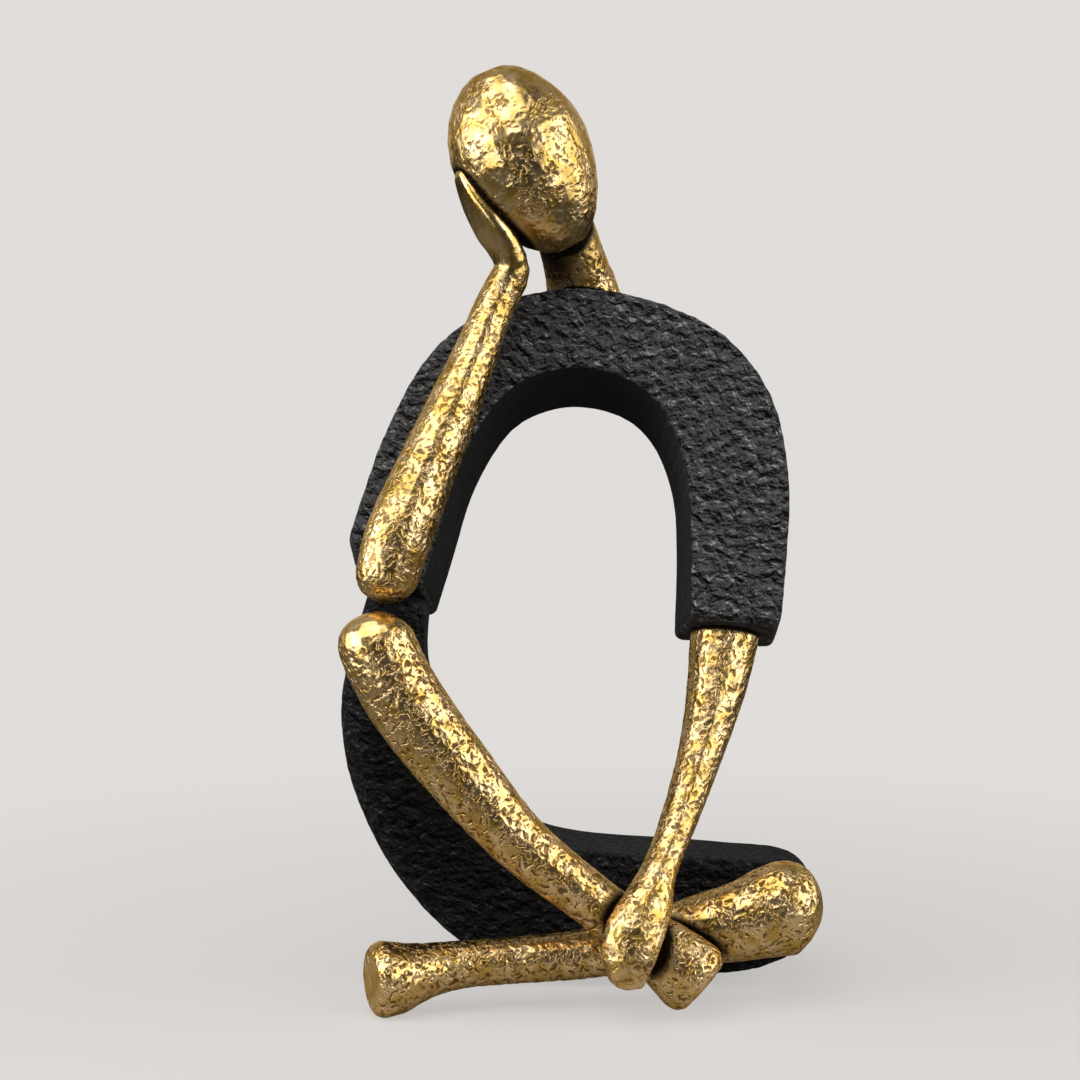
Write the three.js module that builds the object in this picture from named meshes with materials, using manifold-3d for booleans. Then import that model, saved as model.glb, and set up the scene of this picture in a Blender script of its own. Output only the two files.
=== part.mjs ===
// A seated thinking figure in cast resin: a black coat arch over black crossed thighs, with a golden head,
// neck, forearms and lower legs. The castings are separate, pinned with steel dowels and glued.
// Lengths are millimetres, angles degrees. X runs to the figure's left, Y to its back, Z up.
import * as THREE from "three";
import { mergeVertices } from "three/addons/utils/BufferGeometryUtils.js";
import Module from "manifold-3d";

const wasm = await Module();
wasm.setup();

// Main sizes. The seat's width runs from the raised thigh to the left knee, and the coat's height runs along
// its lean.
const seatWidth = 135;
const seatDepth = 37;
const thighWidth = 38;
const kneeHeight = 118;
const coatWidth = 124.3;
const coatHeight = 100.5;
const coatDepth = 34;
const sleeveWidth = 24;
const headLength = 55.8;
const headWidth = 39.2;

// Glue joints
const glueGap = 0.3;
const dowelDiameter = 3;
const dowelLength = 16;
const dowelEndGap = 0.6;
const dowelSides = 16;

// Coat arch: a leaning horseshoe. Its own frame starts at coatFoot: across, deep (to the back), up the lean.
const cuffDrop = 13;
const coatFoot = [0, -26, kneeHeight - cuffDrop];
const coatLean = 20;
const coatDraft = 3.2;
const coatEdgeRound = 3;
const cuffEdgeRound = 2.5;

// The coat's outline on its front face, from the right cuff over the shoulders to the left: the outer edge as
// [across, up] in coat widths and heights, and the way in to the inner edge in sleeve widths.
const coatOutline = [
  { outer: [-0.527, 0.254], inward: [0.878, -0.562] },
  { outer: [-0.495, 0.388], inward: [0.925, -0.396] },
  { outer: [-0.438, 0.592], inward: [0.883, -0.408] },
  { outer: [-0.338, 0.816], inward: [0.8, -0.604] },
  { outer: [-0.185, 0.955], inward: [0.521, -0.875] },
  { outer: [-0.012, 1], inward: [0.171, -1.008] },
  { outer: [0.161, 0.965], inward: [-0.188, -1.042] },
  { outer: [0.331, 0.861], inward: [-0.696, -1] },
  { outer: [0.438, 0.677], inward: [-1.029, -0.875] },
  { outer: [0.473, 0.433], inward: [-1.167, -0.604] },
  { outer: [0.463, 0.204], inward: [-1.121, -0.25] },
  { outer: [0.448, 0.017], inward: [-1.058, 0.096] },
];

// Seat: the hips and thighs as one bent bar
const seatTopRound = 4;
const seatBackRound = 8;
const seatUnderRound = 10;
const kneeEndRound = 9;
const raisedEndRound = 4;

// The seat's outline on its front face, from the left knee over the hips up to the raised right knee: the
// outer edge as [x, z] in seat widths and knee heights, the way in to the inner edge in thigh widths, where
// the front face lies in y, and how deep it is in seat depths.
const seatOutline = [
  { outer: [0.504, 0.119], inward: [0.013, 0.47], front: -17, deep: 0.865 },
  { outer: [0.4, 0.042], inward: [0.105, 0.815], front: -14, deep: 0.919 },
  { outer: [0.252, 0.014], inward: [0.224, 0.925], front: -12, deep: 0.946 },
  { outer: [0.044, 0.011], inward: [0.513, 0.961], front: -12, deep: 1 },
  { outer: [-0.126, 0.025], inward: [0.75, 0.938], front: -12, deep: 1 },
  { outer: [-0.267, 0.11], inward: [0.908, 0.711], front: -13, deep: 1.027 },
  { outer: [-0.381, 0.258], inward: [1.013, 0.342], front: -16, deep: 1.081 },
  { outer: [-0.453, 0.419], inward: [0.979, 0.079], front: -21, deep: 1.135 },
  { outer: [-0.493, 0.585], inward: [0.882, 0], front: -26, deep: 1.162 },
  { outer: [-0.493, 0.763], inward: [0.618, 0], front: -28.5, deep: 1.149 },
  { outer: [-0.433, 1], inward: [0.42, -0.184], front: -27, deep: 1.027 },
];

// Felt pads under the hips, and where each lies: x in seat widths, y
const padDiameter = 10;
const padThickness = 2.4;
const padSides = 24;
const padPlaces = { right_pad: [-0.052, 6], left_pad: [0.244, 4], back_pad: [0.096, 11] };

// Steps along each band and limb between its rounded ends, and points around each limb
const coatSteps = 30;
const seatSteps = 26;
const limbSides = 16;
const headSides = 22;

// A point on the coat, in the figure's frame
function onCoat(across, deep, up) {
  const turn = new THREE.Euler(-THREE.MathUtils.degToRad(coatLean), 0, 0);
  return new THREE.Vector3(across, deep, up).applyEuler(turn).add(new THREE.Vector3(...coatFoot)).toArray();
}

// Joints that the limbs run between. The elbow, palm, chin and crown are in the coat's frame.
const elbow = [-0.438 * coatWidth, -3.5, 0.072 * coatHeight];
const chin = [-2, -10.5, coatHeight + 7.8];
const palm = [chin[0] - 32.1, chin[1] - 10.6, chin[2] + 17.6];
const headRun = [-0.437, -0.276, 0.856];
const crown = chin.map((value, axis) => value + headLength * headRun[axis]);
const leftSleeve = onCoat(0.346 * coatWidth, coatDepth / 2, 0.137 * coatHeight);
const fist = [0.103 * seatWidth, -56, 10.5];
const rightKnee = [-0.433 * seatWidth, -36, kneeHeight - 6.4];
const rightFoot = [0.25 * seatWidth, -44.5, 8.4];
const leftKnee = [0.502 * seatWidth, -23, 26.5];
const leftFoot = [-0.43 * seatWidth, -44, 10.2];

// Limbs: how far each station is along the straight line between the joints, how far its middle lies aside,
// and the half widths across the view and in depth. An end is rounded over a length, and blunt tells how much
// of its width is left at the very tip.
const headShape = {
  from: crown,
  to: chin,
  steps: 6,
  stations: [
    { share: 0, aside: [0, 0, 0], across: 0.485 * headWidth, deep: 20 },
    { share: 0.474, aside: [-1.5, 1, -0.5], across: headWidth / 2, deep: 20 },
    { share: 1, aside: [0, 0, 0], across: 0.434 * headWidth, deep: 17 },
  ],
  start: { round: 26, blunt: 0 },
  end: { round: 29, blunt: 0 },
};
const neckShape = {
  from: [2, coatDepth / 2 + 3, coatHeight - 8.5],
  to: [-6.5, coatDepth / 2 - 23, coatHeight + 21.8],
  steps: 6,
  stations: [
    { share: 0, aside: [0, 0, 0], across: 12.6, deep: 11 },
    { share: 0.281, aside: [1.4, 2.3, 1.8], across: 10.8, deep: 10.6 },
    { share: 0.567, aside: [1.3, 1.7, 0.8], across: 9, deep: 9.5 },
    { share: 1, aside: [0, 0, 0], across: 8.4, deep: 9 },
  ],
  start: { round: 1, blunt: 0.9 },
  end: { round: 3, blunt: 0.5 },
};
const rightForearmShape = {
  from: elbow,
  to: palm,
  steps: 22,
  stations: [
    { share: 0, aside: [0, 0, 0], across: 8.6, deep: 8.6 },
    { share: 0.075, aside: [-0.4, -2.3, -0.3], across: 9, deep: 9.1 },
    { share: 0.168, aside: [1.1, -2.7, -0.5], across: 9.4, deep: 9.4 },
    { share: 0.29, aside: [4.1, -0.5, -0.7], across: 8.6, deep: 9 },
    { share: 0.44, aside: [8.3, 2.2, -1.1], across: 7.7, deep: 8.2 },
    { share: 0.589, aside: [12.2, 5.1, -1.3], across: 6.4, deep: 6.9 },
    { share: 0.727, aside: [15.6, 7.1, -1.6], across: 5.6, deep: 6.2 },
    { share: 0.814, aside: [18.4, 7.2, -2.1], across: 5.4, deep: 6 },
    { share: 0.861, aside: [16.3, 5.6, -2], across: 4.8, deep: 6.6 },
    { share: 0.919, aside: [9.2, 3.1, -1.2], across: 3.7, deep: 7.4 },
    { share: 0.972, aside: [2.2, 1, -0.3], across: 3, deep: 6.4 },
    { share: 1, aside: [0, 0, 0], across: 2.3, deep: 4.8 },
  ],
  start: { round: 8, blunt: 0 },
  end: { round: 2.5, blunt: 0.2 },
};
const leftForearmShape = {
  from: leftSleeve,
  to: fist,
  steps: 18,
  stations: [
    { share: 0, aside: [0, 0, 0], across: 9.6, deep: 9.6 },
    { share: 0.112, aside: [0.8, 0.7, -0.6], across: 9.6, deep: 9.4 },
    { share: 0.236, aside: [1.9, 1, -1], across: 8.3, deep: 8.3 },
    { share: 0.393, aside: [2.1, 1, -1.1], across: 6.4, deep: 6.5 },
    { share: 0.577, aside: [0.8, 0.4, -0.4], across: 5.1, deep: 5.4 },
    { share: 0.711, aside: [-0.9, -1.7, 1.2], across: 5, deep: 5.2 },
    { share: 0.809, aside: [-1.9, -4.2, 2.6], across: 7.2, deep: 6 },
    { share: 0.888, aside: [-2.8, -3.7, 2.6], across: 8.8, deep: 6.6 },
    { share: 0.955, aside: [-1.7, -1.8, 1.4], across: 7.4, deep: 6 },
    { share: 1, aside: [0, 0, 0], across: 4.2, deep: 4.2 },
  ],
  start: { round: 1, blunt: 0.9 },
  end: { round: 4, blunt: 0.3 },
};
const rightShinShape = {
  from: rightKnee,
  to: rightFoot,
  steps: 16,
  stations: [
    { share: 0, aside: [0, 0, 0], across: 10.2, deep: 9.8 },
    { share: 0.064, aside: [-3.4, -1.5, -2.9], across: 10.7, deep: 10.5 },
    { share: 0.182, aside: [-6.5, -2, -5.6], across: 10.8, deep: 10.6 },
    { share: 0.355, aside: [-8, -1.5, -7], across: 9.9, deep: 9.8 },
    { share: 0.537, aside: [-8.3, -0.4, -7.4], across: 8.2, deep: 8.4 },
    { share: 0.714, aside: [-5.5, 1.1, -4.9], across: 7.3, deep: 7.8 },
    { share: 0.819, aside: [-3.2, 1.5, -2.9], across: 7.5, deep: 7.6 },
    { share: 0.903, aside: [-1.2, 0.7, -1.1], across: 9.4, deep: 8.6 },
    { share: 1, aside: [0, 0, 0], across: 11.4, deep: 9.8 },
  ],
  start: { round: 9, blunt: 0 },
  end: { round: 4, blunt: 0.68 },
};
const leftShinShape = {
  from: leftKnee,
  to: leftFoot,
  steps: 18,
  stations: [
    { share: 0, aside: [0, 0, 0], across: 12.6, deep: 11 },
    { share: 0.077, aside: [-0.1, -0.4, 1.2], across: 13.5, deep: 12 },
    { share: 0.186, aside: [0.1, -0.1, -0.5], across: 11.2, deep: 10.5 },
    { share: 0.297, aside: [0.1, 0.7, -1.2], across: 9.4, deep: 9 },
    { share: 0.408, aside: [0, 2.1, -2.6], across: 8, deep: 7.6 },
    { share: 0.537, aside: [-0.2, 3.8, -3.3], across: 6.9, deep: 6.8 },
    { share: 0.67, aside: [-0.5, 4.6, -2.3], across: 6.5, deep: 6.5 },
    { share: 0.8, aside: [-0.7, 4.3, -0.8], across: 6.6, deep: 6.6 },
    { share: 0.889, aside: [-0.5, 3.2, -0.6], across: 8, deep: 7.8 },
    { share: 0.947, aside: [-0.2, 1.4, -0.7], across: 10.3, deep: 9.2 },
    { share: 1, aside: [0, 0, 0], across: 10.8, deep: 9.6 },
  ],
  start: { round: 11, blunt: 0 },
  end: { round: 3.5, blunt: 0.66 },
};

// Dowels: the point of the glue joint that each is centred on, and the way it runs. The first four are in the
// coat's frame.
const dowels = {
  head: { centre: [chin[0] - 2, chin[1] + 12.5, chin[2] + 6.2], run: [-5, -13, 12.3] },
  neck: { centre: [1.5, coatDepth / 2, coatHeight - 1.5], run: [-1, -7, 10.3] },
  elbow: { centre: [elbow[0] + 0.4, elbow[1] + 3, elbow[2] + 11.8], run: [0.5, 8, 7] },
  leftCuff: { centre: [0.338 * coatWidth, coatDepth / 2, 0.03 * coatHeight], run: [2.5, 0, 13] },
  fist: { centre: [fist[0] + 0.6, fist[1] + 8, fist[2] + 14], run: [0, 1, 0] },
  ankle: { centre: [0.148 * seatWidth, -35, 18.5], run: [0, 1, 0] },
  rightKnee: { centre: [rightKnee[0] + 5.4, rightKnee[1] + 7, rightKnee[2] - 15.6], run: [0, 1, 0] },
  leftKnee: { centre: [leftKnee[0] - 12.8, leftKnee[1] + 9, leftKnee[2] - 2.5], run: [0, 1, 0] },
  thigh: { centre: [-0.385 * seatWidth, 3.5, kneeHeight - 4.5], run: [0, 0.3, 1] },
};

// Materials
const gold = () => new THREE.MeshStandardMaterial({ color: 0xc79a45, roughness: 0.32, metalness: 0.9 });
const black = () => new THREE.MeshStandardMaterial({ color: 0x1b1b1c, roughness: 0.7, metalness: 0 });
const steel = () => new THREE.MeshStandardMaterial({ color: 0x9a9da0, roughness: 0.35, metalness: 0.9 });
const felt = () => new THREE.MeshStandardMaterial({ color: 0x141414, roughness: 0.95, metalness: 0 });

// How full the outline is at a distance from an end that is rounded over a length: 0 at the tip, 1 past it.
function fullness(distance, round) {
  const left = 1 - Math.min(distance / round, 1);
  return Math.sqrt(1 - left * left);
}

// Distances along a length: close together where the ends round over, even between.
function stepsAlong(length, startRound, endRound, evenCount) {
  const roundCount = 5;
  const tipAngle = 0.25;
  const arc = Array.from({ length: roundCount }, (_, i) => {
    const angle = tipAngle + ((Math.PI / 2 - tipAngle) * i) / roundCount;
    return 1 - Math.cos(angle);
  });
  const reach = length - startRound - endRound;
  const even = Array.from({ length: evenCount + 1 }, (_, i) => startRound + (reach * i) / evenCount);
  return [
    ...arc.map((share) => startRound * share),
    ...even,
    ...arc.reverse().map((share) => length - endRound * share),
  ];
}

// Joins rings of points into one closed skin, with a fan at each end.
function skin(rings, firstTip, lastTip) {
  const count = rings[0].length;
  const points = [...rings.flat(), firstTip, lastTip];
  const faces = [];
  for (let r = 0; r < rings.length - 1; r++) {
    for (let i = 0; i < count; i++) {
      const a = r * count + i;
      const b = r * count + ((i + 1) % count);
      faces.push(a, b, a + count, b, b + count, a + count);
    }
  }
  const tip = rings.length * count;
  const last = tip - count;
  for (let i = 0; i < count; i++) {
    const next = (i + 1) % count;
    faces.push(tip, next, i);
    faces.push(tip + 1, last + i, last + next);
  }
  const geometry = new THREE.BufferGeometry().setFromPoints(points);
  geometry.setIndex(faces);
  geometry.computeVertexNormals();
  return geometry;
}

// An elliptical limb that swells and tapers along a smooth route.
function limbGeometry({ from, to, stations, start, end, steps }, around = limbSides) {
  const smooth = (points) => new THREE.CatmullRomCurve3(points, false, "catmullrom", 0.5);
  const [first, last] = [new THREE.Vector3(...from), new THREE.Vector3(...to)];
  const middle = smooth(
    stations.map(({ share, aside }) => first.clone().lerp(last, share).add(new THREE.Vector3(...aside))),
  );
  const girth = smooth(stations.map(({ across, deep }) => new THREE.Vector3(across, deep, 0)));
  const length = middle.getLength();
  const forward = new THREE.Vector3(0, -1, 0);
  const rings = stepsAlong(length, start.round, end.round, steps).map((distance) => {
    const t = middle.getUtoTmapping(0, distance);
    const centre = middle.getPoint(t);
    const along = middle.getTangent(t);
    const sideways = new THREE.Vector3().crossVectors(along, forward).normalize();
    const depthwise = new THREE.Vector3().crossVectors(along, sideways).normalize();
    const { x: across, y: deep } = girth.getPoint(t);
    const full =
      (start.blunt + (1 - start.blunt) * fullness(distance, start.round)) *
      (end.blunt + (1 - end.blunt) * fullness(length - distance, end.round));
    return Array.from({ length: around }, (_, i) => {
      const angle = (2 * Math.PI * i) / around;
      return centre
        .clone()
        .addScaledVector(sideways, across * full * Math.cos(angle))
        .addScaledVector(depthwise, deep * full * Math.sin(angle));
    });
  });
  return skin(rings, middle.getPoint(0), middle.getPoint(1));
}

// The outline of a rectangle with its own rounding at each corner, as [across, deep].
function roundedSection(width, depth, rounds, inset) {
  const corners = [
    { at: [width, 0], turn: [-1, 1], round: rounds.innerFront, from: -90 },
    { at: [width, depth], turn: [-1, -1], round: rounds.innerBack, from: 0 },
    { at: [0, depth], turn: [1, -1], round: rounds.outerBack, from: 90 },
    { at: [0, 0], turn: [1, 1], round: rounds.outerFront, from: 180 },
  ];
  const cornerSteps = 3;
  const leastRadius = 0.5;
  return corners.flatMap(({ at, turn, round, from }) => {
    const radius = Math.max(round - inset, leastRadius);
    const centre = at.map((value, axis) => value + turn[axis] * (inset + radius));
    return Array.from({ length: cornerSteps + 1 }, (_, i) => {
      const angle = THREE.MathUtils.degToRad(from + (90 * i) / cornerSteps);
      return [centre[0] + radius * Math.cos(angle), centre[1] + radius * Math.sin(angle)];
    });
  });
}

// The edges of a band, from its outline in its own widths and heights.
function edgesOf(outline, width, height, bandWidth) {
  return outline.map(({ outer: [x, z], inward, ...rest }) => {
    const outer = [x * width, z * height];
    return { outer, inner: outer.map((value, axis) => value + inward[axis] * bandWidth), ...rest };
  });
}

// A band with a rounded rectangular section, swept through pairs of edge points. The draft widens its back.
function bandGeometry(edges, rounds, startRound, endRound, draft, evenCount) {
  const smooth = (points) => new THREE.SplineCurve(points.map((point) => new THREE.Vector2(...point)));
  const outer = smooth(edges.map((edge) => edge.outer));
  const inner = smooth(edges.map((edge) => edge.inner));
  const faces = smooth(edges.map(({ front, depth }) => [front, depth]));
  const middle = smooth(edges.map((edge) => edge.outer.map((value, i) => (value + edge.inner[i]) / 2)));
  const length = middle.getLength();
  const rings = stepsAlong(length, startRound, endRound, evenCount).map((distance) => {
    const t = middle.getUtoTmapping(0, distance);
    const from = outer.getPoint(t);
    const across = inner.getPoint(t).sub(from);
    const width = across.length();
    const { x: front, y: depth } = faces.getPoint(t);
    const startInset = startRound * (1 - fullness(distance, startRound));
    const inset = startInset + endRound * (1 - fullness(length - distance, endRound));
    return roundedSection(width, depth, rounds, inset).map(([sideways, deep]) => {
      const reach = (sideways / width) * (1 + (draft * deep) / depth / width);
      const place = from.clone().addScaledVector(across, reach);
      return new THREE.Vector3(place.x, front + deep, place.y);
    });
  });
  const centreOf = (ring) =>
    ring.reduce((sum, point) => sum.add(point), new THREE.Vector3()).divideScalar(ring.length);
  return skin(rings, centreOf(rings[0]), centreOf(rings[rings.length - 1]));
}

const figure = new THREE.Group();
const coat = new THREE.Group();
coat.position.set(...coatFoot);
coat.rotation.x = -THREE.MathUtils.degToRad(coatLean);
figure.add(coat);

function piece(name, geometry, material, parent = figure) {
  const mesh = new THREE.Mesh(geometry, material);
  mesh.name = name;
  parent.add(mesh);
  mesh.updateWorldMatrix(true, false);
  return mesh;
}

// A mesh as a solid in the figure's frame, swollen by a small distance if asked.
function solidOf(mesh, swell = 0) {
  const geometry = mesh.geometry.clone();
  for (const name of ["normal", "uv"]) geometry.deleteAttribute(name);
  const merged = mergeVertices(geometry, 1e-4).applyMatrix4(mesh.matrixWorld);
  if (swell) {
    merged.computeVertexNormals();
    const { position, normal } = merged.attributes;
    const point = new THREE.Vector3();
    for (let i = 0; i < position.count; i++) {
      point.fromBufferAttribute(position, i);
      point.addScaledVector(new THREE.Vector3().fromBufferAttribute(normal, i), swell);
      position.setXYZ(i, point.x, point.y, point.z);
    }
  }
  return new wasm.Manifold(
    new wasm.Mesh({
      numProp: 3,
      vertProperties: merged.attributes.position.array,
      triVerts: new Uint32Array(merged.index.array),
    }),
  );
}

function cut(mesh, ...tools) {
  const solid = tools.reduce((rest, tool) => rest.subtract(tool), solidOf(mesh));
  const { vertProperties, triVerts } = solid.getMesh();
  mesh.geometry = new THREE.BufferGeometry()
    .setAttribute("position", new THREE.BufferAttribute(Float32Array.from(vertProperties), 3))
    .setIndex(new THREE.BufferAttribute(Uint32Array.from(triVerts), 1))
    .applyMatrix4(mesh.matrixWorld.clone().invert());
  mesh.geometry.computeVertexNormals();
}

// Castings
const coatRounds = {
  innerFront: coatEdgeRound,
  innerBack: coatEdgeRound,
  outerBack: coatEdgeRound,
  outerFront: coatEdgeRound,
};
const shoulderArch = piece(
  "shoulder_arch",
  bandGeometry(
    edgesOf(coatOutline, coatWidth, coatHeight, sleeveWidth).map((edge) => ({
      ...edge,
      front: 0,
      depth: coatDepth,
    })),
    coatRounds,
    cuffEdgeRound,
    cuffEdgeRound,
    coatDraft,
    coatSteps,
  ),
  black(),
  coat,
);
const seatRounds = {
  innerFront: seatTopRound,
  innerBack: seatBackRound,
  outerBack: seatBackRound,
  outerFront: seatUnderRound,
};
const seat = piece(
  "seat_and_thighs",
  bandGeometry(
    edgesOf(seatOutline, seatWidth, kneeHeight, thighWidth).map((edge) => ({
      ...edge,
      depth: edge.deep * seatDepth,
    })),
    seatRounds,
    kneeEndRound,
    raisedEndRound,
    0,
    seatSteps,
  ),
  black(),
);
const head = piece("head", limbGeometry(headShape, headSides), gold(), coat);
const neck = piece("neck", limbGeometry(neckShape), gold(), coat);
const rightForearm = piece("right_forearm", limbGeometry(rightForearmShape), gold(), coat);
const leftForearm = piece("left_forearm", limbGeometry(leftForearmShape), gold());
const rightShin = piece("right_shin", limbGeometry(rightShinShape), gold());
const leftShin = piece("left_shin", limbGeometry(leftShinShape), gold());

// Each casting that lands on another is shaped to it, less the glue line.
const archRoom = solidOf(shoulderArch, glueGap);
const seatRoom = solidOf(seat, glueGap);
const headRoom = solidOf(head, glueGap);
const rightShinRoom = solidOf(rightShin, glueGap);
const shelfSpan = 3 * seatWidth;
const shelfBlock = new THREE.BoxGeometry(shelfSpan, shelfSpan, shelfSpan).translate(0, 0, -shelfSpan / 2);
const shelfRoom = solidOf(new THREE.Mesh(shelfBlock));
cut(shoulderArch, seatRoom);
cut(neck, archRoom, headRoom);
cut(rightForearm, archRoom, seatRoom, headRoom, rightShinRoom);
cut(leftForearm, archRoom, rightShinRoom);
cut(rightShin, seatRoom, shelfRoom);
cut(leftShin, seatRoom, rightShinRoom, shelfRoom);

// Dowels: each is centred on a glue joint and reaches into both castings.
function dowel(name, parent, { centre, run }, hosts) {
  const turn = new THREE.Quaternion().setFromUnitVectors(
    new THREE.Vector3(0, 1, 0),
    new THREE.Vector3(...run).normalize(),
  );
  const rod = (radius, length) =>
    new THREE.CylinderGeometry(radius, radius, length, dowelSides).applyQuaternion(turn).translate(...centre);
  const radius = dowelDiameter / 2;
  const pin = piece(name, rod(radius, dowelLength), steel(), parent);
  const hole = new THREE.Mesh(rod(radius + glueGap, dowelLength + 2 * dowelEndGap));
  hole.matrixWorld.copy(pin.matrixWorld);
  for (const host of hosts) cut(host, solidOf(hole));
}
dowel("head_pin", coat, dowels.head, [neck, head]);
dowel("neck_pin", coat, dowels.neck, [neck, shoulderArch]);
dowel("elbow_pin", coat, dowels.elbow, [rightForearm, shoulderArch]);
dowel("left_cuff_pin", coat, dowels.leftCuff, [leftForearm, shoulderArch]);
dowel("fist_pin", figure, dowels.fist, [leftForearm, rightShin]);
dowel("ankle_pin", figure, dowels.ankle, [rightShin, leftShin]);
dowel("right_knee_pin", figure, dowels.rightKnee, [rightShin, seat]);
dowel("left_knee_pin", figure, dowels.leftKnee, [leftShin, seat]);
dowel("thigh_pin", figure, dowels.thigh, [shoulderArch, seat]);

// Felt pads, let into the underside of the seat
for (const [name, [share, y]] of Object.entries(padPlaces)) {
  const disc = (diameter, thickness) =>
    new THREE.CylinderGeometry(diameter / 2, diameter / 2, thickness, padSides)
      .rotateX(Math.PI / 2)
      .translate(share * seatWidth, y, thickness / 2);
  piece(name, disc(padDiameter, padThickness), felt());
  cut(seat, solidOf(new THREE.Mesh(disc(padDiameter + 2 * glueGap, padThickness + glueGap))));
}

// The origin is on the shelf, under the middle of the figure.
const box = new THREE.Box3().setFromObject(figure, true);
const middle = box.getCenter(new THREE.Vector3());
figure.position.set(-middle.x, -middle.y, -box.min.z);

export default figure;
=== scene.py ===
# Seated thinking figurine: a black coat and thighs with a gold head, neck, forearms and lower legs.
# The pieces are modelled in millimetres and kept in metres, in the frame's own place.
import math

import bmesh
import bpy
from mathutils import Matrix, Vector


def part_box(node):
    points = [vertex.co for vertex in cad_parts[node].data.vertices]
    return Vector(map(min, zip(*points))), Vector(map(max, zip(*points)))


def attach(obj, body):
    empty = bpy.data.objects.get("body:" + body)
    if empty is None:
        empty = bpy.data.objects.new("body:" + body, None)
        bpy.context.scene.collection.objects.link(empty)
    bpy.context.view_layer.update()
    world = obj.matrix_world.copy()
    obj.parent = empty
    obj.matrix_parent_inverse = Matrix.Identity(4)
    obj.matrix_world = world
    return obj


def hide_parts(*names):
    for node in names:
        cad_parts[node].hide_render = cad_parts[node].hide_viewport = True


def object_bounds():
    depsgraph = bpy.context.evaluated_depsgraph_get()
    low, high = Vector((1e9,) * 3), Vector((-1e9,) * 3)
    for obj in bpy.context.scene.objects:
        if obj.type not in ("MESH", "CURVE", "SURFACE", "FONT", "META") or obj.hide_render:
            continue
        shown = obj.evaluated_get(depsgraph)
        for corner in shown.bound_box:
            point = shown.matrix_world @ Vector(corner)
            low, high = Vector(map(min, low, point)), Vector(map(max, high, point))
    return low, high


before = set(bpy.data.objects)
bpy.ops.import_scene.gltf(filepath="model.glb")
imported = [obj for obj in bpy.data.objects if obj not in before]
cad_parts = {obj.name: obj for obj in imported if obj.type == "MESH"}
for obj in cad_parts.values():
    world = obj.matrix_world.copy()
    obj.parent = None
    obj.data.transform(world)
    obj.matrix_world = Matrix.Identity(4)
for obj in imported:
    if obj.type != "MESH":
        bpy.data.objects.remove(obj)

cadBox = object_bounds()
print("frame loaded", [round(v, 4) for corner in cadBox for v in corner])

mm = 0.001
scene = bpy.context.scene
scene.view_settings.view_transform = "Standard"


class Wire:
    # one socket of a shader or geometry tree: sums and products of wires add Math nodes
    def __init__(self, tree, socket=None):
        self.tree = tree
        self.socket = socket

    def add(self, kind, settings, sockets, out=0):
        node = self.tree.nodes.new(kind)
        for name, value in settings.items():
            setattr(node, name, value)
        for name, value in sockets.items():
            if isinstance(value, Wire):
                self.tree.links.new(value.socket, node.inputs[name])
            else:
                node.inputs[name].default_value = value
        return Wire(self.tree, node.outputs[out])

    def also(self, out):  # another output of the same node
        return Wire(self.tree, self.socket.node.outputs[out])

    def maths(self, operation, *values):
        return self.add("ShaderNodeMath", {"operation": operation}, dict(enumerate(values)))

    def vector(self, operation, *values, out=0):  # out 1 is the number that some operations give
        return self.add("ShaderNodeVectorMath", {"operation": operation}, dict(enumerate(values)), out)

    def __add__(self, other):
        return self.maths("ADD", self, other)

    def __sub__(self, other):
        return self.maths("SUBTRACT", self, other)

    def __rsub__(self, other):
        return self.maths("SUBTRACT", other, self)

    def __mul__(self, other):
        return self.maths("MULTIPLY", self, other)

    __radd__ = __add__
    __rmul__ = __mul__

    def __abs__(self):
        return self.maths("ABSOLUTE", self)

    def steady(self, number):  # one number as a wire
        return self.maths("ADD", number, 0)

    def most(self, other):
        return self.maths("MAXIMUM", self, other)

    def ease(self, low, high):  # 0 below low, 1 above high, smooth between
        settings = {"interpolation_type": "SMOOTHSTEP"}
        return self.add("ShaderNodeMapRange", settings, {0: self, 1: low, 2: high})

    def noise(self, size, detail=2.0, distortion=0.0, roughness=0.5):  # size in millimetres, on a place
        sockets = {"Vector": self, "Scale": 1 / (size * mm), "Detail": detail, "Distortion": distortion,
                   "Roughness": roughness}
        return self.add("ShaderNodeTexNoise", {}, sockets)

    def cells(self, size):  # distance to the nearest of scattered points, as a share of their size
        sockets = {"Vector": self, "Scale": 1 / (size * mm)}
        return self.add("ShaderNodeTexVoronoi", {"feature": "F1"}, sockets, "Distance")

    def stir(self, size, reach):  # a place pushed about by noise, both in millimetres
        sockets = {"Vector": self, "Scale": 1 / (size * mm), "Detail": 1.0}
        colour = self.add("ShaderNodeTexNoise", {}, sockets, 1)
        centred = self.vector("SUBTRACT", colour, (0.5, 0.5, 0.5))
        return self.vector("ADD", self, self.vector("MULTIPLY", centred, (reach * mm,) * 3))

    def blend(self, first, second):  # colours, by this mask
        return self.add("ShaderNodeMix", {"data_type": "RGBA"}, {0: self, 6: first, 7: second}, 2)


# Dents of a hammered look, one in each cell, and in most of them a short curved mark: a small stirred
# plate that the surface cuts through. Both are 1 at their deepest and 0 outside.
hammering = {
    "stir": 0.8, "dentEdge": (0.10, 0.55), "markCore": 0.3, "markFade": 0.6, "unmarked": (0.30, 0.38),
}
leafDents = {"size": 2.2, "width": 0.48, "reach": 0.70}  # size and width in millimetres
smallDents = {"size": 1.3, "width": 0.28, "reach": 0.60}


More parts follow.
